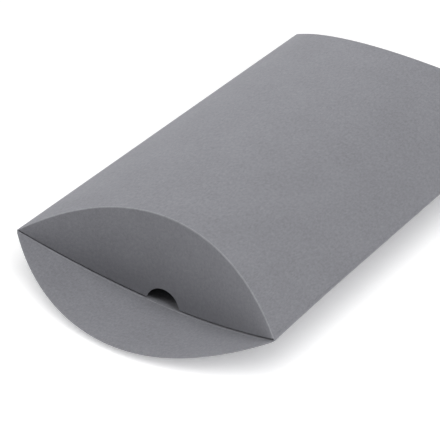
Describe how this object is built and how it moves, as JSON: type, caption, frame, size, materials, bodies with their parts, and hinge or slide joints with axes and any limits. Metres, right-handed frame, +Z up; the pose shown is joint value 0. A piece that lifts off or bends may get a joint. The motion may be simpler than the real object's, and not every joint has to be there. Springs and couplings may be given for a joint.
{
  "type": "pillow box",
  "caption": "Grey solid-board pillow box with arched panels, curved end creases and fold-in end flaps, one flap with a thumb notch, glued along one side seam.",
  "frame": {"origin": "middle of the flat strip under the belly that the box rests on", "axes": "+Z up; +Y along the box from the front end, with the open flap, to the rear end; +X to the right, the side of the glued seam"},
  "size_m": [0.1646, 0.2822, 0.0499],
  "materials": {
    "board": "uncoated grey dyed board with a fine grain",
    "creased_board": "scored and folded grey board, fibres slightly lighter",
    "adhesive": "dried film of dispersion glue"
  },
  "bodies": {
    "carton": {"upper_panel": "board", "lower_panel": "board", "side_fold": "creased_board", "seam_fold": "creased_board", "glue_tab": "board", "glue_line": "adhesive", "front_upper_crease": "creased_board", "front_lower_crease": "creased_board", "rear_upper_crease": "creased_board", "rear_lower_crease": "creased_board"},
    "front_upper_leaf": {"front_upper_flap": "board"},
    "front_lower_leaf": {"front_lower_flap": "board"},
    "rear_upper_leaf": {"rear_upper_flap": "board"},
    "rear_lower_leaf": {"rear_lower_flap": "board"}
  },
  "joints": [
    {"name": "front_upper_fold", "type": "hinge", "parent": "carton", "child": "front_upper_leaf", "pos_m": [0, -0.10205, 0.04963], "axis": [-1, 0, 0], "range_deg": [0, 80]},
    {"name": "front_lower_fold", "type": "hinge", "parent": "carton", "child": "front_lower_leaf", "pos_m": [0, -0.11085, 0.00013], "axis": [1, 0, 0], "range_deg": [-90, 0], "deforming": ["front_lower_flap"]},
    {"name": "rear_upper_fold", "type": "hinge", "parent": "carton", "child": "rear_upper_leaf", "pos_m": [0, 0.10205, 0.04963], "axis": [1, 0, 0], "range_deg": [0, 90]},
    {"name": "rear_lower_fold", "type": "hinge", "parent": "carton", "child": "rear_lower_leaf", "pos_m": [0, 0.10105, 0.00013], "axis": [-1, 0, 0], "range_deg": [0, 90], "deforming": ["rear_lower_flap"]}
  ]
}
